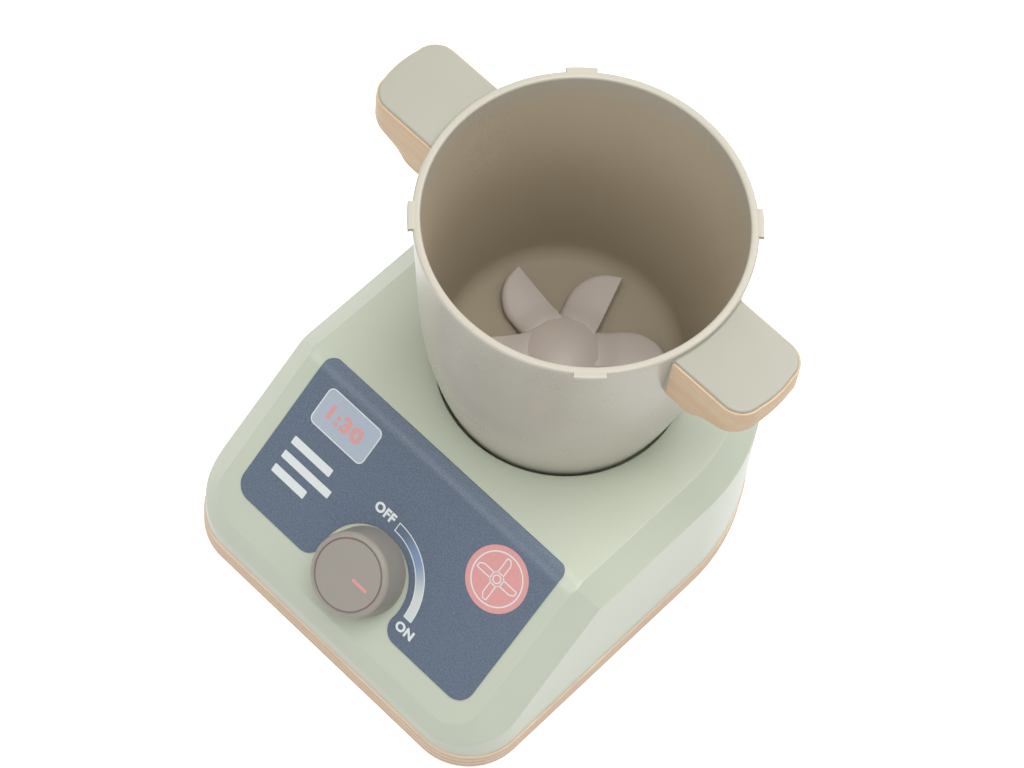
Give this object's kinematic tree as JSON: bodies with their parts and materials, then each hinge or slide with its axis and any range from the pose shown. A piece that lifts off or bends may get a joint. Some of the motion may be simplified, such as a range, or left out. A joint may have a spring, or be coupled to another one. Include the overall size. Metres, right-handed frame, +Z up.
{
  "type": "toy blender",
  "caption": "Toy food processor: wedge base with rotary on-off knob and geared battery drive, lift-off pot with wooden handles, and a winged rotor inside.",
  "frame": {"origin": "on the table, at the middle of the base", "axes": "+Z up, -Y to the front where the knob is, +X to the right seen from the front"},
  "size_m": [0.1822, 0.2, 0.1827],
  "materials": {
    "birch_plywood": "clear matt lacquer, plies showing at the edge",
    "shell_green": "fine satin moulding, pale sage",
    "panel_print": "printed slate-blue film with a fine speckle",
    "foot_rubber": "soft matt",
    "screw_steel": "zinc plated",
    "knob_grey": "fine satin moulding, warm grey",
    "switch_black": "plain moulding",
    "bright_steel": "ground",
    "inner_white": "plain moulding",
    "cell_skin": "printed sleeve",
    "motor_steel": "pressed can",
    "brass": "turned",
    "gear_white": "natural acetal",
    "pot_beige": "satin moulding, warm beige grey",
    "handle_beech": "waxed, long grain",
    "rotor_taupe": "satin moulding",
    "lead_red": "soft insulation",
    "lead_black": "soft insulation",
    "lead_white": "soft insulation"
  },
  "bodies": {
    "base": {"base_plate": "birch_plywood", "rubber_feet": "foot_rubber", "housing_screws": "screw_steel", "base_housing": "shell_green", "control_overlay": "panel_print", "rotary_switch": "switch_black", "switch_nut": "bright_steel", "battery_box": "inner_white", "battery_cells": "cell_skin", "battery_contacts": "bright_steel", "battery_door": "inner_white", "battery_door_screws": "screw_steel", "battery_box_screws": "screw_steel", "gear_case": "inner_white", "gear_case_lid": "inner_white", "gear_case_screws": "screw_steel", "compound_pin": "bright_steel", "motor": "motor_steel", "motor_screws": "screw_steel", "drive_bush": "brass", "lead_battery_switch": "lead_red", "lead_switch_motor": "lead_white", "lead_motor_battery": "lead_black"},
    "knob": {"knob": "knob_grey", "switch_shaft": "bright_steel"},
    "motor_rotor": {"motor_shaft": "bright_steel", "motor_pinion": "brass"},
    "compound": {"compound_gear": "gear_white"},
    "drive": {"drive_shaft": "bright_steel", "output_gear": "gear_white", "drive_coupling": "gear_white", "drive_clip": "bright_steel"},
    "pot": {"pot_shell": "pot_beige", "handle_wood_left": "handle_beech", "handle_wood_right": "handle_beech", "handle_screws": "screw_steel", "spindle_bush": "brass"},
    "rotor": {"blade_rotor": "rotor_taupe", "rotor_spindle": "bright_steel", "pot_coupling": "gear_white"}
  },
  "joints": [
    {"name": "knob_turn", "type": "hinge", "parent": "base", "child": "knob", "pos_m": [0, -0.07812, 0.04247], "axis": [0, -0.6626, 0.749], "range_deg": [0, 90]},
    {"name": "pot_lift", "type": "slide", "parent": "base", "child": "pot", "axis": [0, 0, 1], "range_m": [0, 0.06]},
    {"name": "drive_spin", "type": "hinge", "parent": "base", "child": "drive", "pos_m": [0, 0.022, 0.055], "axis": [0, 0, 1], "continuous": true},
    {"name": "compound_spin", "type": "hinge", "parent": "base", "child": "compound", "pos_m": [0, 0.0428, 0.048], "axis": [0, 0, 1], "continuous": true},
    {"name": "motor_spin", "type": "hinge", "parent": "base", "child": "motor_rotor", "pos_m": [0.0192, 0.0428, 0.045], "axis": [0, 0, 1], "continuous": true},
    {"name": "rotor_spin", "type": "hinge", "parent": "pot", "child": "rotor", "pos_m": [0, 0.022, 0.085], "axis": [0, 0, 1], "continuous": true}
  ],
  "couplings": [
    {"joint": "drive_spin", "follows": "rotor_spin", "ratio": 1},
    {"joint": "compound_spin", "follows": "rotor_spin", "ratio": -3.3333},
    {"joint": "motor_spin", "follows": "rotor_spin", "ratio": 12.667}
  ]
}
